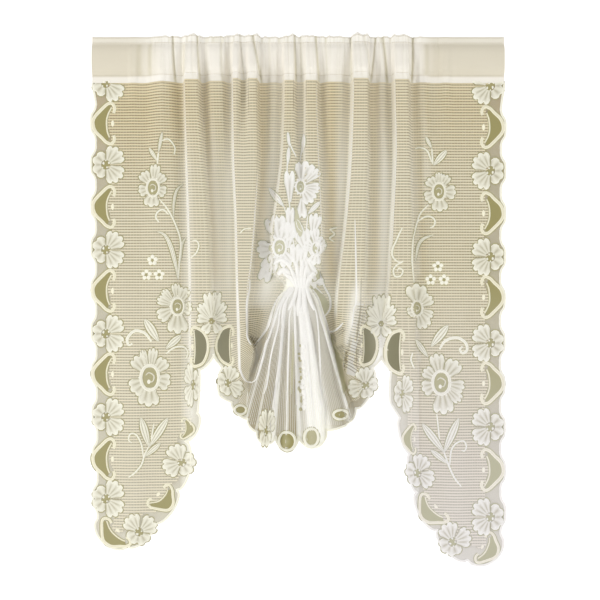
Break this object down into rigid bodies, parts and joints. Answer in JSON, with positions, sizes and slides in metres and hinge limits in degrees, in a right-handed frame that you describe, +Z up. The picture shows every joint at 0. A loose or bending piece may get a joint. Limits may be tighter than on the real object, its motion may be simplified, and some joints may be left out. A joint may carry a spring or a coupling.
{
  "type": "short lace curtain",
  "caption": "Short lace curtain with a plain gathered rod-pocket heading, two long scalloped side tails and a middle drawn up into a stitched knot with a fan of pleats below it.",
  "frame": {"origin": "middle of the heading's top edge, on the plane that the curtain's flat ends hang in", "axes": "+X to the right seen from the front, -Y towards the room, +Z up; the curtain hangs below the origin"},
  "size_m": [0.7459, 0.0536, 0.9537],
  "materials": {
    "plain_cloth": "cream plain weave, matt",
    "lace": "cream knitted lace, sheer ground, matt"
  },
  "bodies": {
    "root": {"heading": "plain_cloth", "lace_panel": "lace"}
  },
  "joints": []
}
